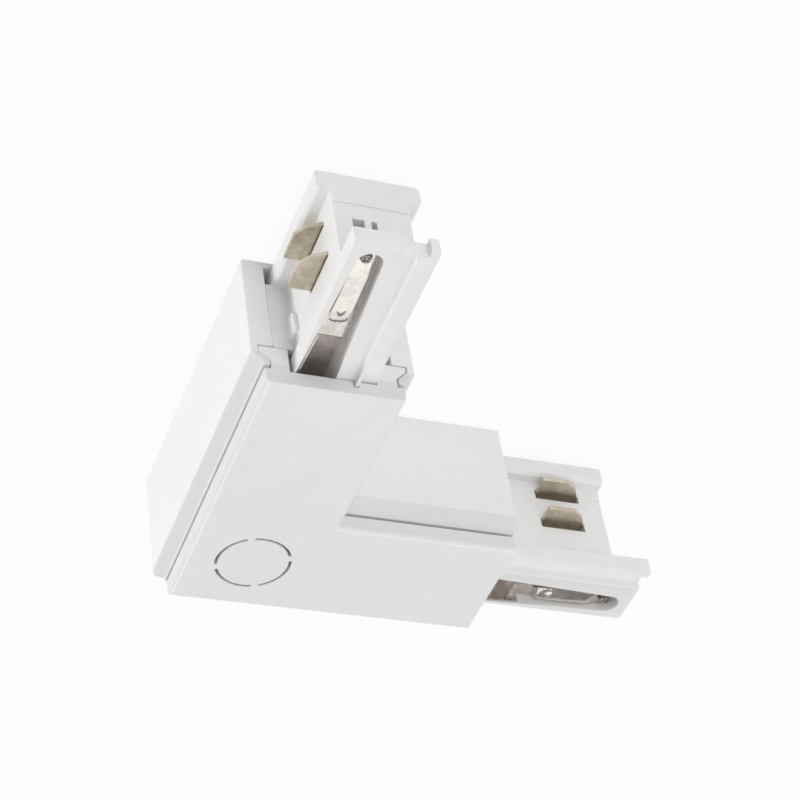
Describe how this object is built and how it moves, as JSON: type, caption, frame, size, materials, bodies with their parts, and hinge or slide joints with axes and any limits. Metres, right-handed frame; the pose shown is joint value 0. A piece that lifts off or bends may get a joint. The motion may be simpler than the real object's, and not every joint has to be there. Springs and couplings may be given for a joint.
{
  "type": "track corner connector",
  "caption": "Right-angle connector for ceiling lighting power track: L-shaped white housing with a contact insert at the end of each leg.",
  "frame": {"origin": "crossing of the two legs' centre planes on the flat room face", "axes": "+X along one leg, +Y along the other leg, +Z from the room face to the ceiling face"},
  "size_m": [0.1138, 0.1138, 0.0345],
  "materials": {
    "white_plastic": "satin",
    "contact_metal": "tinned",
    "spring_metal": "bright",
    "screw_steel": "bright",
    "grey_plastic": "matt",
    "clamp_brass": "machined"
  },
  "bodies": {
    "housing": {"cover_shell": "white_plastic", "base_plate": "white_plastic", "room_side_carrier": "white_plastic", "middle_carrier": "white_plastic", "ceiling_side_carrier": "white_plastic", "outer_low_conductor": "contact_metal", "outer_high_conductor": "contact_metal", "inner_low_conductor": "contact_metal", "inner_high_conductor": "contact_metal", "earth_strip": "spring_metal", "leg_x_spring_screw": "screw_steel", "leg_y_spring_screw": "screw_steel", "outer_terminal_block": "grey_plastic", "inner_terminal_block": "grey_plastic", "earth_clamp": "clamp_brass", "outer_low_clamp": "clamp_brass", "outer_high_clamp": "clamp_brass", "inner_low_clamp": "clamp_brass", "inner_high_clamp": "clamp_brass", "terminal_screws": "screw_steel", "carrier_screw": "screw_steel"},
    "leg_x_spring": {"leg_x_earth_spring": "spring_metal"},
    "leg_y_spring": {"leg_y_earth_spring": "spring_metal"}
  },
  "joints": [
    {"name": "leg_x_spring_press", "type": "hinge", "parent": "housing", "child": "leg_x_spring", "pos_m": [0.09005, -0.0047, 0.02808], "axis": [0, -1, 0], "range_deg": [0, 2.4], "stiffness_Nm_per_rad": 0.8},
    {"name": "leg_y_spring_press", "type": "hinge", "parent": "housing", "child": "leg_y_spring", "pos_m": [-0.0047, 0.09005, 0.02808], "axis": [1, 0, 0], "range_deg": [0, 2.4], "stiffness_Nm_per_rad": 0.8}
  ]
}
